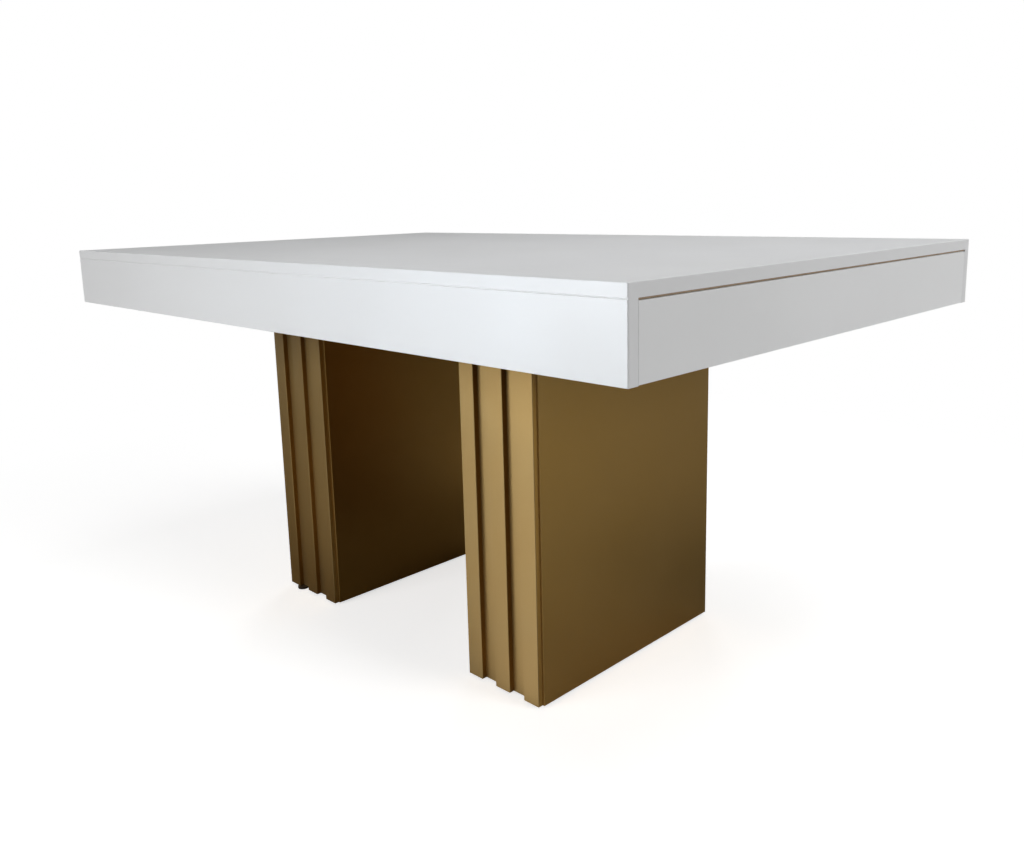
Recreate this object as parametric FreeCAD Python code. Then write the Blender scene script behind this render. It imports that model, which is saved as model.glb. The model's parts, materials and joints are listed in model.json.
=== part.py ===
import FreeCAD, Part
import os

# Extending pedestal table in millimetres: a white apron box on two fluted slab legs. A leaf is stored
# under the top at each end and runs out on ball slides behind its own end panel.
# Origin on the floor under the middle of the top. X runs along the table, Y across it, Z up.
# Right is +X, front is -Y. The right and front pieces are drawn, and the others are their mirror images.

# Whole table
TABLE_LENGTH = 1550.0
TABLE_WIDTH = 1000.0
TABLE_HEIGHT = 760.0
FIT = 0.05

# Top, rails and divider
TOP_THICKNESS = 18.0
RAIL_HEIGHT = 97.0
RAIL_THICKNESS = 18.0
DIVIDER_THICKNESS = 18.0
ARRIS = 1.5
EDGE_EASE = 0.5
JOINT_GROOVE = 1.2

# Leaves behind the end panels
LEAF_TRAVEL = 400.0
LEAF_HOLD = 80.0
LEAF_THICKNESS = 18.0
LEAF_GAP = 3.0
LEAF_SIDE_THICKNESS = 15.0
LEAF_BACK_THICKNESS = 18.0
PANEL_THICKNESS = 18.0
PANEL_SIDE_GAP = 0.5
PANEL_REVEAL = 1.0
PANEL_EASE = 0.3
RUN_CLEARANCE = 8.0

# Ball slides of three members
SLIDE_THICKNESS = 12.7
SLIDE_SHEET = 1.2
SLIDE_MARGIN = 2.5
SLIDE_FRONT_GAP = 4.0
SLIDE_PLAY = 0.3
SLIDE_LIP = 1.0
FLANGE_STEP = 1.4
OUTER_BALL_RADIUS = 1.75
INNER_BALL_RADIUS = 1.5
BALL_PLAY = 0.15
CAGE_SHEET = 0.6
CAGE_RIM = 0.5
CAGE_LENGTH_SHARE = 0.45
BALLS_PER_ROW = 3
SLIDE_SCREW_SHARES = (0.08, 0.92)

# Fluted legs
LEG_CENTRE = 302.0
LEG_THICKNESS = 182.0
LEG_CORE_DEPTH = 484.0
LEG_PANEL_THICKNESS = 18.0
LEG_EDGE_THICKNESS = 18.0
LEG_PLATE_THICKNESS = 18.0
BATTENS = 3
BATTEN_WIDTH = 35.0
BATTEN_DEPTH = 10.0
FRONT_BATTEN_INSET = 4.0
REAR_BATTEN_INSET = 8.0
GLIDE_RADIUS = 12.0
GLIDE_HEIGHT = 5.0
GLIDE_EASE = 1.5
GLIDE_EDGE = 21.0

# Carriers that hold the legs to the rails, their bolts and corner brackets
CARRIER_THICKNESS = 18.0
CARRIER_OVERHANG = 20.0
BOLT_RADIUS = 4.0
BOLT_PLAY = 0.5
BOLT_HEAD_RADIUS = 7.0
BOLT_HEAD_HEIGHT = 4.4
BOLT_SOCKET_RADIUS = 2.5
BOLT_SOCKET_DEPTH = 2.4
BOLT_SINK = 1.0
BOLT_HEAD_ROOM = 2.0
BOLT_PROUD = 2.0
BOLT_EDGE_X = 35.0
BOLT_EDGE_Y = 60.0
NUT_SLEEVE_RADIUS = 5.5
NUT_SLEEVE_LENGTH = 13.0
NUT_FLANGE_RADIUS = 10.0
NUT_FLANGE_THICKNESS = 1.6
BRACKET_ARM = 40.0
BRACKET_SHEET = 2.5
BRACKET_MARGIN = 1.5
BRACKET_SCREW_SHARE = 0.65

# Dowels and countersunk wood screws
DOWEL_RADIUS = 4.0
DOWEL_LENGTH = 24.0
DOWEL_EASE = 0.8
DOWEL_END_GAP = 1.0
RAIL_DOWELS = 5
RAIL_DOWEL_EDGE = 60.0
DIVIDER_DOWELS = 2
PANEL_DOWELS = 4
SCREW_HEAD_RADIUS = 3.2
SCREW_HEAD_HEIGHT = 1.9
SCREW_RADIUS = 1.6
SCREW_POINT = 3.0
SCREW_LENGTH = 14.0

# Levels and faces that follow from them
half_length = TABLE_LENGTH / 2
half_width = TABLE_WIDTH / 2
top_under = TABLE_HEIGHT - TOP_THICKNESS
rail_under = top_under - RAIL_HEIGHT
bay_half = half_width - RAIL_THICKNESS
carrier_top = rail_under + CARRIER_THICKNESS
leaf_top = top_under - LEAF_GAP
leaf_under = leaf_top - LEAF_THICKNESS
tray_under = carrier_top + RUN_CLEARANCE
panel_half = bay_half - PANEL_SIDE_GAP
panel_inner = half_length - PANEL_THICKNESS
leaf_inner = panel_inner - LEAF_TRAVEL - LEAF_HOLD
tray_half = bay_half - SLIDE_THICKNESS

# A slide of full extension runs out by its own length
slide_length = LEAF_TRAVEL
slide_end = panel_inner - SLIDE_FRONT_GAP
slide_start = slide_end - slide_length
slide_level = (leaf_under + tray_under) / 2
outer_half = (leaf_under - tray_under) / 2 - SLIDE_MARGIN
middle_half = outer_half - SLIDE_SHEET - 2 * (OUTER_BALL_RADIUS + BALL_PLAY)
inner_half = middle_half - SLIDE_SHEET - 2 * (INNER_BALL_RADIUS + BALL_PLAY)
cage_room = CAGE_SHEET + 2 * SLIDE_PLAY
middle_back = SLIDE_SHEET + cage_room
inner_back = middle_back + SLIDE_SHEET + cage_room
middle_face = SLIDE_THICKNESS - SLIDE_SHEET - 2 * SLIDE_PLAY
outer_face = middle_face - FLANGE_STEP

core_half = LEG_CORE_DEPTH / 2
leg_half = LEG_THICKNESS / 2
carrier_half = leg_half + CARRIER_OVERHANG
plate_half_x = leg_half - LEG_PANEL_THICKNESS
plate_half_y = core_half - LEG_EDGE_THICKNESS
plate_under = rail_under - LEG_PLATE_THICKNESS
bolt_seat = carrier_top - BOLT_SINK - BOLT_HEAD_HEIGHT

ALONG = FreeCAD.Vector(1, 0, 0)
ACROSS = FreeCAD.Vector(0, 1, 0)
UP = FreeCAD.Vector(0, 0, 1)
ORIGIN = FreeCAD.Vector(0, 0, 0)


def point(x, y, z):
    return FreeCAD.Vector(x, y, z)


def board(x, y, z):
    """A box between the two values of each axis."""
    corner = point(x[0], y[0], z[0])
    return Part.makeBox(x[1] - x[0], y[1] - y[0], z[1] - z[0], corner)


def rod(radius, length, base, direction):
    return Part.makeCylinder(radius, length, base, direction)


def turned(outline, base, direction):
    """A solid turned from (radius, height) points about a line through base."""
    rim = [point(r, 0, h) for r, h in outline]
    face = Part.Face(Part.makePolygon(rim + rim[:1]))
    solid = face.revolve(ORIGIN, UP, 360)
    solid.Placement = FreeCAD.Placement(base, FreeCAD.Rotation(UP, direction))
    return solid


def to_left(shape):
    return shape.mirror(ORIGIN, ALONG)


def to_rear(shape):
    return shape.mirror(ORIGIN, ACROSS)


def both_ends(shapes):
    return shapes + [to_left(s) for s in shapes]


def both_sides(shapes):
    return shapes + [to_rear(s) for s in shapes]


def spread(first, last, count):
    step = (last - first) / (count - 1)
    return [first + step * k for k in range(count)]


def edges_where(shape, test):
    return [e for e in shape.Edges if test(e.BoundBox)]


def at(value, level):
    return abs(value - level) < FIT


def without(shape, tools):
    return shape.cut(tools) if tools else shape


def touching(shape, tools):
    return [t for t in tools if t.BoundBox.intersect(shape.BoundBox)]


# Fasteners: each is made with its hole, which is larger all round by the fit


def dowel(middle, direction):
    half = DOWEL_LENGTH / 2
    tip = DOWEL_RADIUS - DOWEL_EASE
    outline = [(0, -half), (tip, -half), (DOWEL_RADIUS, DOWEL_EASE - half)]
    outline += [(DOWEL_RADIUS, half - DOWEL_EASE), (tip, half), (0, half)]
    length = DOWEL_LENGTH + 2 * DOWEL_END_GAP
    hole = rod(DOWEL_RADIUS + FIT, length, middle - direction * (length / 2), direction)
    return turned(outline, middle, direction), hole


def screw_outline(fit):
    head = SCREW_HEAD_RADIUS + fit
    shank = SCREW_RADIUS + fit
    end = SCREW_LENGTH + fit
    outline = [(0, 0), (head, 0), (shank, SCREW_HEAD_HEIGHT)]
    return outline + [(shank, end - SCREW_POINT), (0, end)]


def wood_screw(face, direction):
    """A countersunk screw with its head flush with the face that it is driven through."""
    return turned(screw_outline(0), face, direction), turned(screw_outline(FIT), face, direction)


def leg_bolt(x, y):
    """A dome-headed bolt with a socket, its head sunk in the carrier and its end in the leg's nut."""
    tip = plate_under - NUT_FLANGE_THICKNESS - BOLT_PROUD
    shank = bolt_seat - tip
    dome = BOLT_HEAD_RADIUS - BOLT_HEAD_HEIGHT / 2
    socket = BOLT_HEAD_HEIGHT - BOLT_SOCKET_DEPTH
    outline = [(0, -shank), (BOLT_RADIUS, -shank), (BOLT_RADIUS, 0), (BOLT_HEAD_RADIUS, 0)]
    outline += [(BOLT_HEAD_RADIUS, BOLT_HEAD_HEIGHT / 2), (dome, BOLT_HEAD_HEIGHT)]
    outline += [(BOLT_SOCKET_RADIUS, BOLT_HEAD_HEIGHT), (BOLT_SOCKET_RADIUS, socket), (0, socket)]
    return turned(outline, point(x, y, bolt_seat), UP)


def leg_nut(x, y):
    """A flanged sleeve nut that is drawn up into the leg's top plate from below."""
    bore = BOLT_RADIUS + FIT
    outline = [(bore, -NUT_FLANGE_THICKNESS), (NUT_FLANGE_RADIUS, -NUT_FLANGE_THICKNESS)]
    outline += [(NUT_FLANGE_RADIUS, 0), (NUT_SLEEVE_RADIUS, 0)]
    outline += [(NUT_SLEEVE_RADIUS, NUT_SLEEVE_LENGTH), (bore, NUT_SLEEVE_LENGTH)]
    return turned(outline, point(x, y, plate_under), UP)


def bolt_places():
    reach_x = plate_half_x - BOLT_EDGE_X
    reach_y = plate_half_y - BOLT_EDGE_Y
    return [(LEG_CENTRE + sx * reach_x, sy * reach_y) for sx in (-1, 1) for sy in (-1, 1)]


# Top and rails


def rail_dowels():
    """Front dowels between the top and the rail, and between the rail and the divider's end."""
    places = spread(RAIL_DOWEL_EDGE - half_length, half_length - RAIL_DOWEL_EDGE, RAIL_DOWELS)
    rail_middle = RAIL_THICKNESS / 2 - half_width
    made = [dowel(point(x, rail_middle, top_under), UP) for x in places]
    room = RAIL_HEIGHT / (DIVIDER_DOWELS + 1)
    for level in spread(rail_under + room, top_under - room, DIVIDER_DOWELS):
        made.append(dowel(point(0, -bay_half, level), ACROSS))
    return made


def joint_groove():
    """A square bar on edge that cuts the V along the front joint of the top and the rail."""
    start = point(-half_length, -half_width, top_under)
    out = ACROSS * JOINT_GROOVE
    up = UP * JOINT_GROOVE
    rim = [start - out, start + up, start + out, start - up]
    return Part.Face(Part.makePolygon(rim + rim[:1])).extrude(ALONG * TABLE_LENGTH)


def table_top(holes):
    top = board((-half_length, half_length), (-half_width, half_width), (top_under, TABLE_HEIGHT))
    top = top.makeFillet(ARRIS, edges_where(top, lambda b: at(b.ZMax, TABLE_HEIGHT)))
    return without(top, touching(top, holes) + both_sides([joint_groove()]))


def front_rail(holes):
    rail = board((-half_length, half_length), (-half_width, -bay_half), (rail_under, top_under))
    ends = edges_where(rail, lambda b: at(b.YMax, -half_width) and at(b.XMin, b.XMax))
    rail = rail.makeFillet(ARRIS, ends)
    rims = edges_where(rail, lambda b: at(b.ZMax, rail_under) and not at(b.YMin, -bay_half))
    return without(rail.makeChamfer(EDGE_EASE, rims), touching(rail, holes) + [joint_groove()])


def centre_divider(holes):
    half = DIVIDER_THICKNESS / 2
    divider = board((-half, half), (-bay_half, bay_half), (rail_under, top_under))
    return without(divider, touching(divider, holes))


# Leg carriers


def right_carrier(holes):
    span = (LEG_CENTRE - carrier_half, LEG_CENTRE + carrier_half)
    carrier = board(span, (-bay_half, bay_half), (rail_under, carrier_top))
    cuts = touching(carrier, holes)
    for x, y in bolt_places():
        depth = carrier_top - bolt_seat
        cuts.append(rod(BOLT_RADIUS + BOLT_PLAY, CARRIER_THICKNESS, point(x, y, rail_under), UP))
        cuts.append(rod(BOLT_HEAD_RADIUS + BOLT_HEAD_ROOM, depth, point(x, y, bolt_seat), UP))
    return without(carrier, cuts)


def corner_bracket(edge, away):
    """An angle at a carrier's end: one arm along the front rail, one along the carrier's edge."""
    low = rail_under + BRACKET_MARGIN
    high = carrier_top - BRACKET_MARGIN
    outline = [(0, 0), (BRACKET_ARM, 0), (BRACKET_ARM, BRACKET_SHEET), (BRACKET_SHEET, BRACKET_SHEET)]
    outline += [(BRACKET_SHEET, BRACKET_ARM), (0, BRACKET_ARM)]
    rim = [point(edge + away * a, b - bay_half, low) for a, b in outline]
    angle = Part.Face(Part.makePolygon(rim + rim[:1])).extrude(point(0, 0, high - low))
    reach = BRACKET_ARM * BRACKET_SCREW_SHARE
    level = (low + high) / 2
    face = BRACKET_SHEET
    in_rail = wood_screw(point(edge + away * reach, face - bay_half, level), -ACROSS)
    in_carrier = wood_screw(point(edge + away * face, reach - bay_half, level), ALONG * -away)
    screws = [in_rail, in_carrier]
    return angle.cut([hole for _, hole in screws]), screws


# Ball slides


def channel(back, face, half, lip, opens_out):
    """A front slide member: a C of sheet metal with its web at the back, or at the face."""
    web, tip = (back, face) if opens_out else (face, back)
    inward = SLIDE_SHEET if opens_out else -SLIDE_SHEET
    lower = [(web, -half), (tip, -half)]
    if lip:
        lower += [(tip, lip + SLIDE_SHEET - half), (tip - inward, lip + SLIDE_SHEET - half)]
        lower += [(tip - inward, SLIDE_SHEET - half)]
    else:
        lower += [(tip, SLIDE_SHEET - half)]
    lower += [(web + inward, SLIDE_SHEET - half)]
    upper = [(depth, -level) for depth, level in reversed(lower)]
    rim = [point(slide_start, depth - bay_half, slide_level + level) for depth, level in lower + upper]
    return Part.Face(Part.makePolygon(rim + rim[:1])).extrude(ALONG * slide_length)


def slide_screws(depth, direction):
    """The screws through the web of a front slide member, with their holes."""
    places = [slide_start + share * slide_length for share in SLIDE_SCREW_SHARES]
    return [wood_screw(point(x, depth - bay_half, slide_level), direction) for x in places]


def ball_cage(back, ball_depth, ball_level, ball_radius):
    """A strip bent round a slide member, with a row of balls along its top and its bottom."""
    length = slide_length * CAGE_LENGTH_SHARE
    start = slide_start + (slide_length - length) / 2
    rim_depth = ball_depth + ball_radius + BALL_PLAY + CAGE_RIM
    inner = ball_level - CAGE_SHEET / 2
    outer = ball_level + CAGE_SHEET / 2
    lower = [(back, -outer), (rim_depth, -outer), (rim_depth, -inner), (back + CAGE_SHEET, -inner)]
    upper = [(depth, -level) for depth, level in reversed(lower)]
    rim = [point(start, depth - bay_half, slide_level + level) for depth, level in lower + upper]
    strip = Part.Face(Part.makePolygon(rim + rim[:1])).extrude(ALONG * length)
    room = length / (BALLS_PER_ROW + 1)
    balls = []
    windows = []
    for x in spread(start + room, start + length - room, BALLS_PER_ROW):
        for level in (slide_level - ball_level, slide_level + ball_level):
            centre = point(x, ball_depth - bay_half, level)
            balls.append(Part.makeSphere(ball_radius, centre))
            foot = centre - UP * CAGE_SHEET
            windows.append(rod(ball_radius + BALL_PLAY, 2 * CAGE_SHEET, foot, UP))
    return [strip.cut(windows)] + balls


def outer_cage():
    depth = outer_face / 2
    level = middle_half + BALL_PLAY + OUTER_BALL_RADIUS
    return ball_cage(SLIDE_SHEET + SLIDE_PLAY, depth, level, OUTER_BALL_RADIUS)


def inner_cage():
    depth = (middle_back + middle_face) / 2
    level = inner_half + BALL_PLAY + INNER_BALL_RADIUS
    return ball_cage(middle_back + SLIDE_SHEET + SLIDE_PLAY, depth, level, INNER_BALL_RADIUS)


# Right leaf


def leaf_dowels():
    """Dowels from the end panel into the leaf board and into the front tray side."""
    level = (leaf_top + leaf_under) / 2
    room = 2 * panel_half / PANEL_DOWELS
    places = spread(room / 2 - panel_half, panel_half - room / 2, PANEL_DOWELS)
    in_board = [dowel(point(panel_inner, y, level), ALONG) for y in places]
    side_middle = LEAF_SIDE_THICKNESS / 2 - tray_half
    return in_board, dowel(point(panel_inner, side_middle, slide_level), ALONG)


def end_panel(holes):
    span = (panel_inner, half_length)
    panel = board(span, (-panel_half, panel_half), (rail_under + PANEL_REVEAL, leaf_top))
    outer = edges_where(panel, lambda b: at(b.XMin, half_length))
    return without(panel.makeChamfer(PANEL_EASE, outer), holes)


def leaf_board(holes):
    leaf = board((leaf_inner, panel_inner), (-panel_half, panel_half), (leaf_under, leaf_top))
    return without(leaf, touching(leaf, holes))


def leaf_front_side(holes):
    across = (-tray_half, LEAF_SIDE_THICKNESS - tray_half)
    side = board((leaf_inner, panel_inner), across, (tray_under, leaf_under))
    return without(side, touching(side, holes))


def leaf_back():
    half = tray_half - LEAF_SIDE_THICKNESS
    span = (leaf_inner, leaf_inner + LEAF_BACK_THICKNESS)
    return board(span, (-half, half), (tray_under, leaf_under))


# Right leg


def leg_outer_panel():
    span = (LEG_CENTRE + plate_half_x, LEG_CENTRE + leg_half)
    panel = board(span, (-core_half, core_half), (GLIDE_HEIGHT, rail_under))
    corners = edges_where(panel, lambda b: at(b.XMin, LEG_CENTRE + leg_half) and at(b.YMin, b.YMax))
    return panel.makeChamfer(EDGE_EASE, corners)


def leg_front_board():
    span = (LEG_CENTRE - plate_half_x, LEG_CENTRE + plate_half_x)
    return board(span, (-core_half, -plate_half_y), (GLIDE_HEIGHT, rail_under))


def leg_plate(low, high):
    span = (LEG_CENTRE - plate_half_x, LEG_CENTRE + plate_half_x)
    return board(span, (-plate_half_y, plate_half_y), (low, high))


def leg_top_plate():
    radius = NUT_SLEEVE_RADIUS + FIT
    holes = [rod(radius, LEG_PLATE_THICKNESS, point(x, y, plate_under), UP) for x, y in bolt_places()]
    return leg_plate(plate_under, rail_under).cut(holes)


def leg_batten(index, inset):
    """An upright batten on the leg's front, one of a row that starts and ends at the inset."""
    pitch = (LEG_THICKNESS - 2 * inset - BATTEN_WIDTH) / (BATTENS - 1)
    start = LEG_CENTRE - leg_half + inset + index * pitch
    face = -core_half - BATTEN_DEPTH
    batten = board((start, start + BATTEN_WIDTH), (face, -core_half), (GLIDE_HEIGHT, rail_under))
    corners = edges_where(batten, lambda b: at(b.YMax, face) and at(b.XMin, b.XMax))
    return batten.makeChamfer(EDGE_EASE, corners)


def glides():
    """Round glides under a leg's four corners, with an eased lower rim."""
    reach_x = leg_half - GLIDE_EDGE
    reach_y = core_half - GLIDE_EDGE
    foot = GLIDE_RADIUS - GLIDE_EASE
    outline = [(0, 0), (foot, 0), (GLIDE_RADIUS, GLIDE_EASE)]
    outline += [(GLIDE_RADIUS, GLIDE_HEIGHT), (0, GLIDE_HEIGHT)]
    places = [(LEG_CENTRE + sx * reach_x, sy * reach_y) for sx in (-1, 1) for sy in (-1, 1)]
    return [turned(outline, point(x, y, 0), UP) for x, y in places]


# The assembly: every node with its solids

nodes = {}


def at_both_ends(name, solids):
    """The same node at the right and at the left end of the table."""
    nodes["right_" + name] = solids
    nodes["left_" + name] = [to_left(s) for s in solids]


front_dowels = rail_dowels()
dowel_holes = both_sides([hole for _, hole in front_dowels])
nodes["frame_dowels"] = both_sides([pin for pin, _ in front_dowels])

inner_angle, inner_screws = corner_bracket(LEG_CENTRE - carrier_half, -1)
outer_angle, outer_screws = corner_bracket(LEG_CENTRE + carrier_half, 1)
fixed_screws = slide_screws(SLIDE_SHEET, -ACROSS)
frame_screws = inner_screws + outer_screws + fixed_screws
screw_holes = both_sides([hole for _, hole in frame_screws])
nodes["corner_brackets"] = both_ends(both_sides([inner_angle, outer_angle]))
nodes["frame_screws"] = both_ends(both_sides([screw for screw, _ in frame_screws]))

rail = front_rail(dowel_holes + both_ends(screw_holes))
nodes["table_top"] = [table_top(dowel_holes)]
nodes["front_rail"] = [rail]
nodes["rear_rail"] = [to_rear(rail)]
nodes["centre_divider"] = [centre_divider(dowel_holes)]
at_both_ends("leg_carrier", [right_carrier(screw_holes)])

outer_member = channel(0, outer_face, outer_half, SLIDE_LIP, True)
middle_member = channel(middle_back, middle_face, middle_half, SLIDE_LIP, True)
inner_member = channel(inner_back, SLIDE_THICKNESS, inner_half, 0, False)
moving_screws = slide_screws(SLIDE_THICKNESS - SLIDE_SHEET, ACROSS)
moving_holes = [hole for _, hole in moving_screws]
at_both_ends("slide_outer", both_sides([outer_member.cut([hole for _, hole in fixed_screws])]))
at_both_ends("slide_middle", both_sides([middle_member]))
at_both_ends("slide_inner", both_sides([inner_member.cut(moving_holes)]))
at_both_ends("outer_ball_cages", both_sides(outer_cage()))
at_both_ends("inner_ball_cages", both_sides(inner_cage()))

board_dowels, side_dowel = leaf_dowels()
leaf_holes = [hole for _, hole in board_dowels] + both_sides([side_dowel[1]])
leaf_side = leaf_front_side(leaf_holes + moving_holes)
at_both_ends("end_panel", [end_panel(leaf_holes)])
at_both_ends("leaf_board", [leaf_board(leaf_holes)])
at_both_ends("leaf_front_side", [leaf_side])
at_both_ends("leaf_rear_side", [to_rear(leaf_side)])
at_both_ends("leaf_back", [leaf_back()])
at_both_ends("leaf_dowels", [pin for pin, _ in board_dowels] + both_sides([side_dowel[0]]))
at_both_ends("leaf_screws", both_sides([screw for screw, _ in moving_screws]))

outer_panel = leg_outer_panel()
about_leg = point(LEG_CENTRE, 0, 0)
at_both_ends("leg_outer_panel", [outer_panel])
at_both_ends("leg_inner_panel", [outer_panel.mirror(about_leg, ALONG)])
at_both_ends("leg_front_board", [leg_front_board()])
at_both_ends("leg_rear_board", [to_rear(leg_front_board())])
at_both_ends("leg_top_plate", [leg_top_plate()])
at_both_ends("leg_bottom_plate", [leg_plate(GLIDE_HEIGHT, GLIDE_HEIGHT + LEG_PLATE_THICKNESS)])
for index in range(BATTENS):
    at_both_ends(f"leg_front_batten_{index + 1}", [leg_batten(index, FRONT_BATTEN_INSET)])
    at_both_ends(f"leg_rear_batten_{index + 1}", [to_rear(leg_batten(index, REAR_BATTEN_INSET))])
nodes["leg_glides"] = both_ends(glides())
nodes["leg_bolts"] = both_ends([leg_bolt(x, y) for x, y in bolt_places()])
nodes["leg_nuts"] = both_ends([leg_nut(x, y) for x, y in bolt_places()])

os.makedirs("parts", exist_ok=True)
for name, solids in nodes.items():
    shape = solids[0] if len(solids) == 1 else Part.makeCompound(solids)
    shape.exportStep(f"parts/{name}.step")
print(len(nodes), "nodes,", sum(len(solids) for solids in nodes.values()), "solids")
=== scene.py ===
import json
import math

import bmesh
import bpy
from mathutils import Euler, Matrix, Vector


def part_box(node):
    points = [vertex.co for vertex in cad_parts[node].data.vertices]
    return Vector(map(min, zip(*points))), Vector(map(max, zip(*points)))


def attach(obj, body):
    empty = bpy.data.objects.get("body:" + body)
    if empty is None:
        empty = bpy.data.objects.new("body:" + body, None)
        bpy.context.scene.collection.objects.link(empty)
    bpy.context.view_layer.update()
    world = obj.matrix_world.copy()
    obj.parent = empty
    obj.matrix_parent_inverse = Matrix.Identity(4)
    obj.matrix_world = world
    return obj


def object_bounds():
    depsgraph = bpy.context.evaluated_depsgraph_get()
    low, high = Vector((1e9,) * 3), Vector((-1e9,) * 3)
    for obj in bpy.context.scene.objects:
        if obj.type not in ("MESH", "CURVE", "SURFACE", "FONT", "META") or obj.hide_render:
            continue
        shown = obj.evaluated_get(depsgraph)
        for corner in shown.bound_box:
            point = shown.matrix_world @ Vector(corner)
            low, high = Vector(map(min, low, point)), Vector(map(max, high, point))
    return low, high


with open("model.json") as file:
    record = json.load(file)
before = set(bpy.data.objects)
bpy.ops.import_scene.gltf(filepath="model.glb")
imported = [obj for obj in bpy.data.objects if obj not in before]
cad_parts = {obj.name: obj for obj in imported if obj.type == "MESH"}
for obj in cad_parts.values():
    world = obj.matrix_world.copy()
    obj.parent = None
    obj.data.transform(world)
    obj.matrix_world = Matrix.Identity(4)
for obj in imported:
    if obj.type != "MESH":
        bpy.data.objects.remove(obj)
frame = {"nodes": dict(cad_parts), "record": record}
cad_low, cad_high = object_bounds()
joint_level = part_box("table_top")[0][2]
table_end = cad_high[0]

# The photograph's camera, fitted to the table's corners in a picture of 1024 by 848 pixels
CAMERA_PLACE = (1.36836, -1.25658, 0.84661)
CAMERA_TURN_DEGREES = (79.61776, 1.29942, 44.61872)
CAMERA_LENS = 31.91
CAMERA_SENSOR = 36.0
CAMERA_SHIFT = (-0.010186, -0.055419)

# Colours, in linear light
BLACK = (0.0, 0.0, 0.0)
WHITE = (1.0, 1.0, 1.0)
WHITE_COOL = (0.835, 0.845, 0.860)
WHITE_WARM = (0.800, 0.805, 0.805)
WHITE_PANEL = (0.860, 0.868, 0.875)
WHITE_END = (0.780, 0.785, 0.790)
# The joint's colours: painted shade at the left end and painted light at the right, to even out how its
# groove catches the light
JOINT_PAINTED_DARKER_LEFT = (0.760, 0.765, 0.770)
JOINT_PAINTED_PALER_RIGHT = (0.930, 0.935, 0.940)
BARE_EDGE_LIGHT = (0.400, 0.305, 0.215)
BARE_EDGE_DARK = (0.260, 0.185, 0.118)
# One gold paint: a lit tone for the fluted edges, a deeper shaded tone for the outer panels and outer
# batten walls, and painted shade for the inner panels, the groove walls and the tops under the rail
GOLD_TONE_FOR_LIGHT = (0.362, 0.251, 0.105)
GOLD_MIDDLE = (0.360, 0.231, 0.082)
GOLD_TONE_FOR_SHADE = (0.405, 0.240, 0.060)
GOLD_PAINTED_INNER_SHADE = (0.232, 0.120, 0.020)
GOLD_FLAKE = (0.520, 0.362, 0.155)
GOLD_PAINTED_GROOVE_SHADE = (0.240, 0.125, 0.026)
GOLD_PAINTED_RAIL_SHADE = (0.185, 0.112, 0.036)
BOARD_PALE = (0.440, 0.310, 0.190)
BOARD_DARK = (0.250, 0.155, 0.082)
BEECH_PALE = (0.560, 0.365, 0.215)
BEECH_DARK = (0.380, 0.220, 0.115)
ZINC_PALE = (0.620, 0.635, 0.650)
ZINC_DARK = (0.430, 0.445, 0.465)
STEEL_PALE = (0.700, 0.700, 0.710)
STEEL_DARK = (0.540, 0.540, 0.555)
PLASTIC_BLACK = (0.022, 0.014, 0.008)
PLASTIC_SCUFFED = (0.060, 0.050, 0.040)
FLOOR_PALE = (0.800, 0.800, 0.800)
FLOOR_BOUNCE = (0.560, 0.555, 0.548)
# The floor's bounce in its painted shadow behind the table, and its dim, warm painted reflection in gloss
# before the left leg
FLOOR_SHADED = (0.280, 0.272, 0.262)
FLOOR_DIM = (0.260, 0.150, 0.030)

# The Mix node's sockets for colours go by number, because their names repeat
MIX_SHARE = 0
MIX_FIRST = 6
MIX_SECOND = 7
MIX_RESULT = 2


class Flow:
    """One output socket. Arithmetic on flows adds Math nodes to their tree."""

    def __init__(self, finish, socket):
        self.finish = finish
        self.socket = socket

    def math(self, operation, first, second=0.0):
        return self.finish.node("ShaderNodeMath", {"operation": operation}, {0: first, 1: second})

    def __add__(self, other):
        return self.math("ADD", self, other)

    def __radd__(self, other):
        return self.math("ADD", other, self)

    def __sub__(self, other):
        return self.math("SUBTRACT", self, other)

    def __rsub__(self, other):
        return self.math("SUBTRACT", other, self)

    def __mul__(self, other):
        return self.math("MULTIPLY", self, other)

    def __rmul__(self, other):
        return self.math("MULTIPLY", other, self)

    def __abs__(self):
        return self.math("ABSOLUTE", self)

    def least(self, other):
        return self.math("MINIMUM", self, other)

    def most(self, other):
        return self.math("MAXIMUM", self, other)


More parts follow.
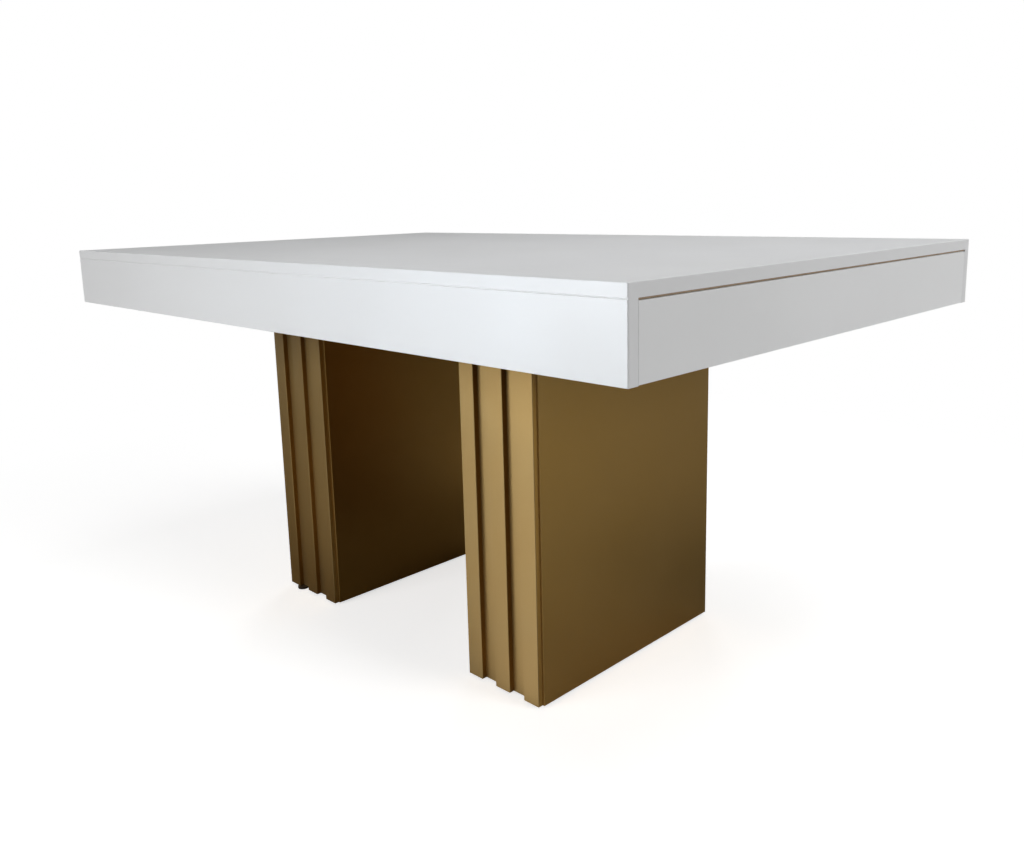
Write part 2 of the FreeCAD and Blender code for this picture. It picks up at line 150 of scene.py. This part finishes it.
class Finish:
    """The nodes of one material or of the world."""

    def __init__(self, owner):
        owner.use_nodes = True
        self.owner = owner
        self.tree = owner.node_tree
        self.tree.nodes.clear()

    def node(self, kind, settings=None, inputs=None, output=0):
        """Adds a node: its settings first, then its sockets' values or links."""
        made = self.tree.nodes.new(kind)
        for name, value in (settings or {}).items():
            setattr(made, name, value)
        for name, value in (inputs or {}).items():
            socket = made.inputs[name]
            if isinstance(value, Flow):
                self.tree.links.new(value.socket, socket)
            elif socket.type == "RGBA" and len(value) == 3:
                socket.default_value = (*value, 1.0)
            else:
                socket.default_value = value
        return Flow(self, made.outputs[output])

    def place(self):
        return self.node("ShaderNodeTexCoord", output="Object")

    def axes(self, place):
        split = self.node("ShaderNodeSeparateXYZ", inputs={0: place})
        return [Flow(self, socket) for socket in split.socket.node.outputs]

    def stretched(self, place, scale):
        return self.node("ShaderNodeMapping", inputs={"Vector": place, "Scale": scale})

    def noise(self, place, scale, detail, roughness=0.5):
        inputs = {"Vector": place, "Scale": scale, "Detail": detail, "Roughness": roughness}
        return self.node("ShaderNodeTexNoise", inputs=inputs)

    def cells(self, place, scale, output="Distance"):
        inputs = {"Vector": place, "Scale": scale}
        return self.node("ShaderNodeTexVoronoi", inputs=inputs, output=output)

    def fade(self, value, start, end):
        """A smooth step: 0 where the value is at start, 1 where it is at end."""
        inputs = {"Value": value, "From Min": start, "From Max": end}
        return self.node("ShaderNodeMapRange", {"interpolation_type": "SMOOTHSTEP"}, inputs)

    def mixed(self, share, first, second):
        """One colour or the other, or a mixture by the share of the second."""
        inputs = {MIX_SHARE: share, MIX_FIRST: first, MIX_SECOND: second}
        return self.node("ShaderNodeMix", {"data_type": "RGBA"}, inputs, MIX_RESULT)

    def bump(self, height, depth):
        inputs = {"Strength": 1.0, "Distance": depth, "Height": height}
        return self.node("ShaderNodeBump", inputs=inputs)

    def surface(self, colour, roughness, normal, metallic=0.0, **constants):
        """Ends a material in one coated surface. A name's underscores stand for the socket's spaces."""
        inputs = {"Base Color": colour, "Roughness": roughness, "Normal": normal, "Metallic": metallic}
        inputs.update({name.replace("_", " "): value for name, value in constants.items()})
        self.end(self.node("ShaderNodeBsdfPrincipled", inputs=inputs))
        return self.owner

    def end(self, shader, kind="ShaderNodeOutputMaterial"):
        self.tree.links.new(shader.socket, self.tree.nodes.new(kind).inputs["Surface"])


def new_finish(name):
    return Finish(bpy.data.materials.new(name))


def edge_distance(finish, place, box):
    """Metres from a point of a board's surface to the board's nearest edge."""
    insets = []
    for low, high, along in zip(*box, finish.axes(place)):
        insets.append((high - low) / 2 - abs(along - (high + low) / 2))
    first, second, third = insets
    return first.least(second).most(first.most(second).least(third))


# How far edges are rubbed smooth
EDGE_RUB = 0.0022

# White lacquer. Here and below a noise has its scale per metre, its detail and, for some, its roughness,
# and a span has the pattern's values where a mark starts and where it is full
WHITE_CLOUDS = (2.3, 4.0)
WHITE_HANDLED = (7.0, 5.0, 0.6)
WHITE_HANDLED_SPAN = (0.35, 0.70)
WHITE_DUST = (900.0, 0.0)
WHITE_DUST_SPAN = (0.70, 0.78)
WHITE_PEEL = (430.0, 1.0)
WHITE_PEEL_DEPTH = 0.00006
WHITE_ROUGHNESS = 0.31
WHITE_HANDLED_DULL = 0.10
WHITE_DUST_DULL = 0.03
WHITE_RUB_BRIGHT = 0.05
WHITE_SPECULAR = 0.5
TOP_FACE_DEPTH = 0.0004
TOP_FACE_DULL = 0.28
BOARD_END_DEPTH = 0.0008
JOINT_REACH = 0.0012
# Along the table, where the joint's painted shade turns to painted light
JOINT_PAINTED_LIGHT_ALONG = (-0.30, 0.60)


def white_lacquer(node):
    """Sprayed satin lacquer: faint clouds, orange peel, handled patches, darker board ends, and a joint
    painted darker at the left and paler at the right, as painted shade and light.
    """
    finish = new_finish("white_lacquer_" + node)
    place = finish.place()
    along, _, height = finish.axes(place)
    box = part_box(node)
    clouds = finish.noise(place, *WHITE_CLOUDS)
    handled = finish.fade(finish.noise(place, *WHITE_HANDLED), *WHITE_HANDLED_SPAN)
    dust = finish.fade(finish.noise(place, *WHITE_DUST), *WHITE_DUST_SPAN)
    rub = finish.fade(edge_distance(finish, place, box), EDGE_RUB, 0.0)
    roughness = WHITE_ROUGHNESS + WHITE_HANDLED_DULL * handled - WHITE_RUB_BRIGHT * rub
    roughness = roughness + WHITE_DUST_DULL * dust
    if node.endswith("end_panel"):
        colour = finish.mixed(clouds, WHITE_PANEL, WHITE_WARM)
    else:
        end = finish.fade(abs(along), table_end - BOARD_END_DEPTH, table_end - BOARD_END_DEPTH / 2)
        joint = finish.fade(abs(height - joint_level), JOINT_REACH, 0.0) * (1.0 - end)
        # Painted shade and light: the joint's colour runs from darker at the left to paler at the right
        painted_joint_light = finish.mixed(finish.fade(along, *JOINT_PAINTED_LIGHT_ALONG), JOINT_PAINTED_DARKER_LEFT, JOINT_PAINTED_PALER_RIGHT)
        colour = finish.mixed(end, finish.mixed(clouds, WHITE_COOL, WHITE_WARM), WHITE_END)
        colour = finish.mixed(joint, colour, painted_joint_light)
    if node == "table_top":
        face = finish.fade(height, box[1][2] - TOP_FACE_DEPTH, box[1][2] - TOP_FACE_DEPTH / 2)
        roughness = roughness + TOP_FACE_DULL * face
    normal = finish.bump(finish.noise(place, *WHITE_PEEL), WHITE_PEEL_DEPTH)
    return finish.surface(colour, roughness, normal, Specular_IOR_Level=WHITE_SPECULAR)


# Gold lacquer. Each kind of board has its colour, its share of clouds and its roughness; the colours are
# lit and shaded tones of one paint, with painted shade on the inner panels
GOLD_ON_EDGES = (GOLD_TONE_FOR_LIGHT, 1.0, 0.39)
GOLD_ON_INNER_PANELS = (GOLD_PAINTED_INNER_SHADE, 0.15, 0.31)
GOLD_ON_OUTER_PANELS = (GOLD_TONE_FOR_SHADE, 0.5, 0.31)
GOLD_CLOUDS = (5.5, 4.0, 0.55)
GOLD_CLOUD_DULL = 0.08
GOLD_FLAKE_SCALE = 1900.0
GOLD_FLAKE_SPAN = (0.42, 0.10)
GOLD_FLAKE_SHARE = 0.22
GOLD_FLAKE_BRIGHT = 0.05
GOLD_FLAKE_RELIEF = 0.4
GOLD_RUB_SHARE = 0.08
GOLD_RUB_BRIGHT = 0.04
GOLD_PEEL = (380.0, 2.0)
GOLD_PEEL_DEPTH = 0.00010
GOLD_METALLIC = 0.95
GOLD_FLAKE_METALLIC = 0.04
GOLD_COAT = 0.012
GOLD_CLOUD_COAT = 0.020
GOLD_COAT_ROUGHNESS = 0.28
# Painted shade down the battens' groove walls: where it starts and is full behind the face, and its
# strength
WALL_SHADE_START = 0.0008
WALL_SHADE_FULL = 0.0024
WALL_SHADE_SHARE = 0.85
OUTER_WALL_DEPTH = 0.0011
POOLED_DEPTH = 0.0006
POOLED_REACH = 0.0050
POOLED_DULL = 0.42
# Painted shade towards the top of the fluted edges, under the rail: how far down it reaches and how strong
# it is
RAIL_SHADE_REACH = 0.160
RAIL_SHADE_SHARE = 0.90


def batten_wall_shade(finish, node, place, colour):
    """A batten's colour with painted shade down its groove walls and the shaded tone on its outer wall,
    and where paint pools along its outer wall.
    """
    low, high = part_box(node)
    leg_low, leg_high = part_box(node.split("_leg_")[0] + "_leg_bottom_plate")
    leg_middle = (leg_low[0] + leg_high[0]) / 2
    root, face = sorted((abs(low[1]), abs(high[1])))
    along, across, _ = finish.axes(place)
    painted_groove_shade = finish.fade(abs(across), face - WALL_SHADE_START, face - WALL_SHADE_FULL)
    # The middle batten has a groove on both sides
    if node.endswith("_2"):
        return finish.mixed(painted_groove_shade * WALL_SHADE_SHARE, colour, GOLD_PAINTED_GROOVE_SHADE), 0.0
    edge = max(abs(low[0] - leg_middle), abs(high[0] - leg_middle))
    outer = finish.fade(abs(along - leg_middle), edge - OUTER_WALL_DEPTH, edge - OUTER_WALL_DEPTH / 2)
    # Painted shade: the outer wall takes the shaded tone, the groove walls a darker painted shade
    colour = finish.mixed(painted_groove_shade * outer, colour, GOLD_TONE_FOR_SHADE)
    colour = finish.mixed(painted_groove_shade * (1.0 - outer) * WALL_SHADE_SHARE, colour, GOLD_PAINTED_GROOVE_SHADE)
    return colour, finish.fade(abs(across), root + POOLED_REACH, root) * outer


def gold_lacquer(node):
    """Metallic gold paint under a thin clear coat: sprayed clouds, fine flakes, lit and shaded tones by
    board, and painted shade in the grooves and towards the top, under the rail.
    """
    finish = new_finish("gold_lacquer_" + node)
    place = finish.place()
    _, across, height = finish.axes(place)
    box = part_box(node)
    on_edge = "batten" in node or node.endswith("board")
    if on_edge:
        base, cloudy, roughness = GOLD_ON_EDGES
    elif "inner" in node:
        base, cloudy, roughness = GOLD_ON_INNER_PANELS
    else:
        base, cloudy, roughness = GOLD_ON_OUTER_PANELS
    clouds = finish.noise(place, *GOLD_CLOUDS)
    flakes = finish.fade(finish.cells(place, GOLD_FLAKE_SCALE), *GOLD_FLAKE_SPAN)
    rub = finish.fade(edge_distance(finish, place, box), EDGE_RUB, 0.0)
    colour = finish.mixed(clouds * cloudy, base, GOLD_MIDDLE)
    pooled = 0.0
    if "batten" in node:
        colour, pooled = batten_wall_shade(finish, node, place, colour)
    elif node.endswith("panel"):
        rim = box[1][1]
        pooled = finish.fade(abs(across), rim - POOLED_DEPTH, rim - POOLED_DEPTH / 2)
    colour = finish.mixed(flakes * GOLD_FLAKE_SHARE + rub * GOLD_RUB_SHARE, colour, GOLD_FLAKE)
    # Painted shade: the fluted edges darken towards their tops, under the rail
    if on_edge:
        painted_rail_shade = finish.fade(height, box[1][2] - RAIL_SHADE_REACH, box[1][2])
        colour = finish.mixed(painted_rail_shade * RAIL_SHADE_SHARE, colour, GOLD_PAINTED_RAIL_SHADE)
    roughness = roughness + GOLD_CLOUD_DULL * clouds - GOLD_FLAKE_BRIGHT * flakes
    roughness = roughness - GOLD_RUB_BRIGHT * rub
    metallic = GOLD_METALLIC + GOLD_FLAKE_METALLIC * flakes - POOLED_DULL * pooled
    relief = finish.noise(place, *GOLD_PEEL) + GOLD_FLAKE_RELIEF * flakes
    normal = finish.bump(relief, GOLD_PEEL_DEPTH)
    coat = GOLD_COAT + GOLD_CLOUD_COAT * clouds
    return finish.surface(
        colour, roughness, normal, metallic, Coat_Weight=coat, Coat_Roughness=GOLD_COAT_ROUGHNESS
    )


# Bare fibreboard
STRAND_STRETCH = (1.0, 1.0, 2.4)
STRANDS = (240.0, 5.0, 0.65)
STRAND_SHARE = 0.7
FLECKS = (620.0, 2.0)
FLECK_SPAN = (0.56, 0.70)
FLECK_SHARE = 0.4
NAP = (900.0, 3.0, 0.6)
NAP_DEPTH = 0.00015
NAP_DULL = 0.16
BARE_ROUGHNESS = 0.72
BARE_SPECULAR = 0.3


def raw_board(name, pale, dark):
    """Unfinished fibreboard: blended strands of pressed wood fibre, darker flecks and a fine nap."""
    finish = new_finish(name)
    place = finish.place()
    strands = finish.noise(finish.stretched(place, STRAND_STRETCH), *STRANDS)
    flecks = finish.fade(finish.noise(place, *FLECKS), *FLECK_SPAN)
    nap = finish.noise(place, *NAP)
    colour = finish.mixed((strands * STRAND_SHARE + flecks * FLECK_SHARE).least(1.0), pale, dark)
    roughness = BARE_ROUGHNESS + NAP_DULL * nap
    normal = finish.bump(nap, NAP_DEPTH)
    return finish.surface(colour, roughness, normal, Specular_IOR_Level=BARE_SPECULAR)


# Beech
BEECH_GRAIN_STRETCH = (6.0, 1.0, 6.0)
BEECH_GRAIN = (90.0, 4.0, 0.6)
BEECH_GRAIN_SHARE = 0.6
BEECH_GRAIN_DEPTH = 0.0001
BEECH_GRAIN_DULL = 0.15
BEECH_RAY_STRETCH = (9.0, 1.6, 9.0)
BEECH_RAYS = (160.0, 1.0)
BEECH_RAY_SPAN = (0.58, 0.70)
BEECH_RAY_SHARE = 0.5
BEECH_ROUGHNESS = 0.55


def beech(name):
    """Turned beech, with its short darker rays."""
    finish = new_finish(name)
    place = finish.place()
    grain = finish.noise(finish.stretched(place, BEECH_GRAIN_STRETCH), *BEECH_GRAIN)
    rays = finish.noise(finish.stretched(place, BEECH_RAY_STRETCH), *BEECH_RAYS)
    darkened = grain * BEECH_GRAIN_SHARE + finish.fade(rays, *BEECH_RAY_SPAN) * BEECH_RAY_SHARE
    colour = finish.mixed(darkened.least(1.0), BEECH_PALE, BEECH_DARK)
    roughness = BEECH_ROUGHNESS + BEECH_GRAIN_DULL * grain
    return finish.surface(colour, roughness, finish.bump(grain, BEECH_GRAIN_DEPTH))


# Steel, zinc-plated on slides and fittings and bright on ball cages
STREAKS = (60.0, 5.0, 0.65)
STREAK_SHARE = 0.65
STREAK_DULL = 0.08
STREAK_DEPTH = 0.00004
SPANGLE_SCALE = 260.0
SPANGLE_SHARE = 0.35
STEEL_WORN = (35.0, 4.0)
STEEL_WORN_DULL = 0.16
ZINC_ROUGHNESS = 0.30
ZINC_STREAK_STRETCH = 14.0
BRIGHT_ROUGHNESS = 0.14
BRIGHT_STREAK_STRETCH = 4.0


def plated_steel(name, pale, dark, roughness, stretch):
    """Plated or bright steel: rolling streaks along the slides and a faint spangle."""
    finish = new_finish(name)
    place = finish.place()
    streaks = finish.noise(finish.stretched(place, (1.0, stretch, stretch)), *STREAKS)
    spangle = finish.node("ShaderNodeRGBToBW", inputs={0: finish.cells(place, SPANGLE_SCALE, "Color")})
    worn = finish.noise(place, *STEEL_WORN)
    colour = finish.mixed((streaks * STREAK_SHARE + spangle * SPANGLE_SHARE).least(1.0), pale, dark)
    roughness = roughness + STEEL_WORN_DULL * worn + STREAK_DULL * streaks
    return finish.surface(colour, roughness, finish.bump(streaks, STREAK_DEPTH), metallic=1.0)


# Black plastic
PLASTIC_GRAIN = (1400.0, 2.0)
PLASTIC_GRAIN_DEPTH = 0.00008
SCUFFS = (160.0, 4.0, 0.6)
SCUFF_SPAN = (0.52, 0.68)
SCUFF_SHARE = 0.25
SCUFF_LOW_SHARE = 0.6
SCUFF_LOW = (0.003, 0.0005)
SCUFF_DULL = 0.2
PLASTIC_ROUGHNESS = 0.45


def black_plastic(name):
    """Moulded plastic with a fine grain, scuffed where it meets the floor."""
    finish = new_finish(name)
    place = finish.place()
    _, _, height = finish.axes(place)
    scuffs = finish.fade(finish.noise(place, *SCUFFS), *SCUFF_SPAN)
    share = scuffs * (SCUFF_SHARE + SCUFF_LOW_SHARE * finish.fade(height, *SCUFF_LOW))
    colour = finish.mixed(share, PLASTIC_BLACK, PLASTIC_SCUFFED)
    normal = finish.bump(finish.noise(place, *PLASTIC_GRAIN), PLASTIC_GRAIN_DEPTH)
    return finish.surface(colour, PLASTIC_ROUGHNESS + SCUFF_DULL * scuffs, normal)


def paint_nodes():
    """Gives each CAD node the finish of its material slot."""
    zinc = (ZINC_PALE, ZINC_DARK, ZINC_ROUGHNESS, ZINC_STREAK_STRETCH)
    bright = (STEEL_PALE, STEEL_DARK, BRIGHT_ROUGHNESS, BRIGHT_STREAK_STRETCH)
    shared = {
        "raw_board": raw_board("raw_board", BOARD_PALE, BOARD_DARK),
        "beech": beech("beech"),
        "zinc_steel": plated_steel("zinc_steel", *zinc),
        "bright_steel": plated_steel("bright_steel", *bright),
        "black_plastic": black_plastic("black_plastic"),
    }
    for part in frame["record"]["subparts"]:
        node = part["node"]
        slot = part["material_slot"]
        if slot == "white_lacquer":
            material = white_lacquer(node)
        elif slot == "gold_lacquer":
            material = gold_lacquer(node)
        else:
            material = shared[slot]
        for held in frame["nodes"][node].material_slots:
            held.material = material


def select_below(piece, level, kind):
    """Fixes a new piece's size and place and opens it, with its edges or faces below a level selected."""
    bpy.ops.object.transform_apply(location=True, rotation=True, scale=True)
    bpy.ops.object.mode_set(mode="EDIT")
    bpy.ops.mesh.select_all(action="DESELECT")
    shape = bmesh.from_edit_mesh(piece.data)
    for element in getattr(shape, kind):
        element.select_set(all(corner.co.z < level for corner in element.verts))
    bmesh.update_edit_mesh(piece.data)


# Beads over the end panels
BEAD_SETBACK = 0.0015
BEAD_WIDTH = 0.012
BEAD_CLEARANCE = 0.0004
BEAD_END_GAP = 0.001
BEAD_EASE = 0.0006
BEAD_EASE_STEPS = 3


def gap_bead(side, outward, material):
    """A thin bead of bare fibreboard under the top's end, which closes the gap over the end panel."""
    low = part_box(side + "_end_panel")[1][2] + BEAD_CLEARANCE
    half_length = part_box("rear_rail")[0][1] - BEAD_END_GAP
    middle = table_end - BEAD_SETBACK - BEAD_WIDTH / 2
    level = (low + joint_level) / 2
    bpy.ops.object.select_all(action="DESELECT")
    bpy.ops.mesh.primitive_cube_add(size=1.0, location=(outward * middle, 0.0, level))
    bead = bpy.context.object
    bead.name = side + "_gap_bead"
    bead.scale = (BEAD_WIDTH, 2 * half_length, joint_level - low)
    select_below(bead, level, "edges")
    bpy.ops.mesh.bevel(offset=BEAD_EASE, segments=BEAD_EASE_STEPS)
    bpy.ops.object.mode_set(mode="OBJECT")
    bead.data.materials.append(material)
    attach(bead, "frame")


# Glide in the left leg's first groove
GLIDE_FROM_WALL = 0.004
GLIDE_FROM_FACE = 0.006
GLIDE_RADIUS = 0.012
GLIDE_SIDES = 48
GLIDE_CLEARANCE = 0.0002
GLIDE_EASE = 0.0015
GLIDE_EASE_STEPS = 4
GLIDE_DISH_RIM = 0.002
GLIDE_DISH_DEPTH = 0.0006


def groove_glide(material):
    """A round glide under the left leg that stands out into its first groove, with a dished foot."""
    batten_low, batten_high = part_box("left_leg_front_batten_3")
    place = (batten_high[0] + GLIDE_FROM_WALL, batten_low[1] + GLIDE_FROM_FACE)
    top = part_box("leg_glides")[1][2] - GLIDE_CLEARANCE
    bpy.ops.object.select_all(action="DESELECT")
    bpy.ops.mesh.primitive_cylinder_add(
        vertices=GLIDE_SIDES, radius=GLIDE_RADIUS, depth=top, location=(*place, top / 2)
    )
    glide = bpy.context.object
    glide.name = "left_groove_glide"
    select_below(glide, top / 2, "faces")
    bpy.ops.mesh.bevel(offset=GLIDE_EASE, segments=GLIDE_EASE_STEPS)
    bpy.ops.mesh.inset(thickness=GLIDE_DISH_RIM)
    bpy.ops.transform.translate(value=(0.0, 0.0, GLIDE_DISH_DEPTH))
    bpy.ops.object.mode_set(mode="OBJECT")
    bpy.ops.object.shade_smooth_by_angle()
    glide.data.materials.append(material)
    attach(glide, "frame")


# A lamp's power for a level of 1 on a white card that faces it from one metre
CARD_POWER = math.pi ** 2

# Grids, in degrees, and the daylight's tint
OPEN_GRID = 180.0
WINDOW_GRID = 35.0
DAYLIGHT = (0.90, 0.99, 1.08)

# Lamps: place, target, size, level, and for some their grid, their tint and whether gloss shows them
LAMPS = {
    "window": ((-1.35, -2.85, 0.64), (0.95, -0.50, 0.68), (1.2, 1.2), 0.52, WINDOW_GRID, DAYLIGHT),
    "front_softbox": ((-0.40, -2.80, 0.90), (0.30, -0.50, 0.60), (1.4, 1.0), 0.60),
    "right_softbox": ((4.00, 0.90, 1.60), (0.775, 0.00, 0.70), (1.4, 1.4), 0.53),
    "overhead_softbox": ((0.70, 0.00, 2.90), (0.30, 0.00, 0.76), (2.6, 1.8), 0.56),
    "rear_softbox": ((-2.60, 3.20, 0.70), (-0.40, 0.30, 0.50), (1.6, 1.6), 0.62, OPEN_GRID, WHITE, False),
}


def softbox(name, place, target, size, level, grid_degrees=OPEN_GRID, tint=WHITE, mirrored=True):
    """A soft light, narrowed by a grid, that gives the level, as on a white card, at its target."""
    lamp = bpy.data.lights.new(name, "AREA")
    lamp.shape = "RECTANGLE"
    lamp.size, lamp.size_y = size
    lamp.color = tint
    lamp.spread = math.radians(grid_degrees)
    grid_gain = math.tan(lamp.spread / 2) / (math.tan(lamp.spread / 2) - lamp.spread / 2)
    reach = Vector(target) - Vector(place)
    lamp.energy = level * CARD_POWER * reach.length_squared / grid_gain
    holder = bpy.data.objects.new(name, lamp)
    holder.location = place
    holder.rotation_euler = reach.to_track_quat("-Z", "Y").to_euler()
    holder.visible_camera = False
    holder.visible_glossy = mirrored
    bpy.context.scene.collection.objects.link(holder)


def backdrop_side(finish, place, start, end):
    """0 on the camera's side of the table, fading to 1 on the side of the white backdrop behind it."""
    turn = math.radians(CAMERA_TURN_DEGREES[2])
    away = (-math.sin(turn), math.cos(turn), 0.0)
    settings = {"operation": "DOT_PRODUCT"}
    depth = finish.node("ShaderNodeVectorMath", settings, {0: place, 1: away}, output="Value")
    return finish.fade(depth, start, end)


def ray(finish, kind):
    """1 for rays of one kind."""
    return finish.node("ShaderNodeLightPath", output=kind)


def seen_white(finish, share):
    """1 for rays from the camera, and the share for rays off gloss or through glass."""
    mirrored = ray(finish, "Is Glossy Ray").most(ray(finish, "Is Transmission Ray"))
    return ray(finish, "Is Camera Ray").most(mirrored * share)


# Floor
FLOOR_HALF = 6.0
FLOOR_SHADOW_REACH = 1.1
FLOOR_WHITE_REACH = 2.1
FLOOR_LIFT = 0.68

# Parts of the floor that gloss shows white or dim and warm, as painted reflections, or that bounce less
# light, as a painted shadow: where each starts and is full, along the table, across it, or aslant, as the
# legs' fronts mirror what is before them
FLOOR_SLANT = 1.35
FLOOR_SLANT_START = -0.25
FRONT_GLOW_NEAR = (-0.22, -0.28)
FRONT_GLOW_FAR = (-1.65, -0.90)
FRONT_GLOW_ASLANT = (0.05, 0.50)
FRONT_GLOW_ALONG = (0.45, 0.33)
REAR_GLOW_ACROSS = (0.45, 0.75)
REAR_GLOW_ALONG = (0.45, 0.25)
LEFT_GLOW_ALONG = (-0.55, -0.80)
LEFT_GLOW_ACROSS = (-0.25, 0.00)
LEFT_GLOW_SHARE = 0.5
RIGHT_SHADE_ALONG = (1.05, 0.65)
RIGHT_SHADE_ACROSS = (0.00, 0.50)
LEFT_DIM_ASLANT = (0.00, -0.25)
LEFT_DIM_ACROSS = (-0.20, -0.27)


def floor_colours(finish, place):
    """The floor's colour for each kind of ray, and where it is seen as white."""
    along, across, _ = finish.axes(place)
    aslant = along - FLOOR_SLANT * (across - FLOOR_SLANT_START)
    front = finish.fade(across, *FRONT_GLOW_NEAR) * finish.fade(across, *FRONT_GLOW_FAR)
    front = front * finish.fade(aslant, *FRONT_GLOW_ASLANT) * finish.fade(along, *FRONT_GLOW_ALONG)
    rear = finish.fade(across, *REAR_GLOW_ACROSS) * finish.fade(along, *REAR_GLOW_ALONG)
    left = finish.fade(along, *LEFT_GLOW_ALONG) * finish.fade(across, *LEFT_GLOW_ACROSS)
    behind = backdrop_side(finish, place, FLOOR_SHADOW_REACH, FLOOR_WHITE_REACH)
    seen = seen_white(finish, behind.most(front.most(rear)).most(LEFT_GLOW_SHARE * left))
    # Painted shadow in what the floor bounces behind the table
    shade = finish.fade(along, *RIGHT_SHADE_ALONG) * finish.fade(across, *RIGHT_SHADE_ACROSS)
    # Painted reflection: gloss sees the floor dim and warm before the left leg
    dim = finish.fade(aslant, *LEFT_DIM_ASLANT) * finish.fade(across, *LEFT_DIM_ACROSS)
    bounce = finish.mixed(shade, FLOOR_BOUNCE, FLOOR_SHADED)
    bounce = finish.mixed(dim * ray(finish, "Is Glossy Ray"), bounce, FLOOR_DIM)
    return finish.mixed(seen, bounce, FLOOR_PALE), seen


def lay_floor():
    """A plain pale floor that keeps the table's shadow and runs out to white."""
    bpy.ops.object.select_all(action="DESELECT")
    bpy.ops.mesh.primitive_plane_add(size=2 * FLOOR_HALF, location=(0.0, 0.0, 0.0))
    floor = bpy.context.object
    floor.name = "floor"
    finish = new_finish("floor")
    place = finish.place()
    colour, seen = floor_colours(finish, place)
    matte = finish.node("ShaderNodeBsdfDiffuse", inputs={"Color": colour})
    glow = {"Color": finish.mixed(seen, BLACK, WHITE), "Strength": FLOOR_LIFT}
    lift = finish.node("ShaderNodeEmission", inputs=glow)
    near = finish.node("ShaderNodeAddShader", inputs={0: matte, 1: lift})
    white = finish.node("ShaderNodeEmission", inputs={"Color": WHITE, "Strength": 1.0})
    reach = finish.node("ShaderNodeVectorMath", {"operation": "LENGTH"}, {0: place}, output="Value")
    beyond = finish.fade(reach, FLOOR_SHADOW_REACH, FLOOR_WHITE_REACH)
    finish.end(finish.node("ShaderNodeMixShader", inputs={0: beyond * seen, 1: near, 2: white}))
    floor.data.materials.append(finish.owner)


# World
WORLD_LEVEL = 0.05
WORLD_WHITE_HEIGHT = (0.10, 0.28)
WORLD_WHITE_SIDE = (0.35, 0.65)


def hang_world():
    """Soft light from all round, and white where it is seen."""
    world = bpy.data.worlds.new("studio")
    bpy.context.scene.world = world
    finish = Finish(world)
    direction = finish.node("ShaderNodeTexCoord", output="Generated")
    _, _, height = finish.axes(direction)
    upper = finish.fade(height, *WORLD_WHITE_HEIGHT)
    seen = seen_white(finish, backdrop_side(finish, direction, *WORLD_WHITE_SIDE).most(upper))
    light = finish.node("ShaderNodeBackground", inputs={"Strength": WORLD_LEVEL, "Color": WHITE})
    white = finish.node("ShaderNodeBackground", inputs={"Strength": 1.0, "Color": WHITE})
    shown = finish.node("ShaderNodeMixShader", inputs={0: seen, 1: light, 2: white})
    finish.end(shown, "ShaderNodeOutputWorld")


def place_camera():
    """The camera at the photograph's place and angle."""
    camera = bpy.data.cameras.new("camera")
    camera.sensor_width = CAMERA_SENSOR
    camera.lens = CAMERA_LENS
    camera.shift_x, camera.shift_y = CAMERA_SHIFT
    holder = bpy.data.objects.new("camera", camera)
    holder.location = CAMERA_PLACE
    holder.rotation_euler = Euler([math.radians(turn) for turn in CAMERA_TURN_DEGREES])
    bpy.context.scene.collection.objects.link(holder)
    bpy.context.scene.camera = holder


place_camera()
hang_world()
lay_floor()
for name, setting in LAMPS.items():
    softbox(name, *setting)
paint_nodes()
for side, outward in (("right", 1), ("left", -1)):
    gap_bead(side, outward, raw_board(side + "_gap_bead", BARE_EDGE_LIGHT, BARE_EDGE_DARK))
groove_glide(black_plastic("groove_glide"))

bpy.context.scene.view_settings.view_transform = "Standard"
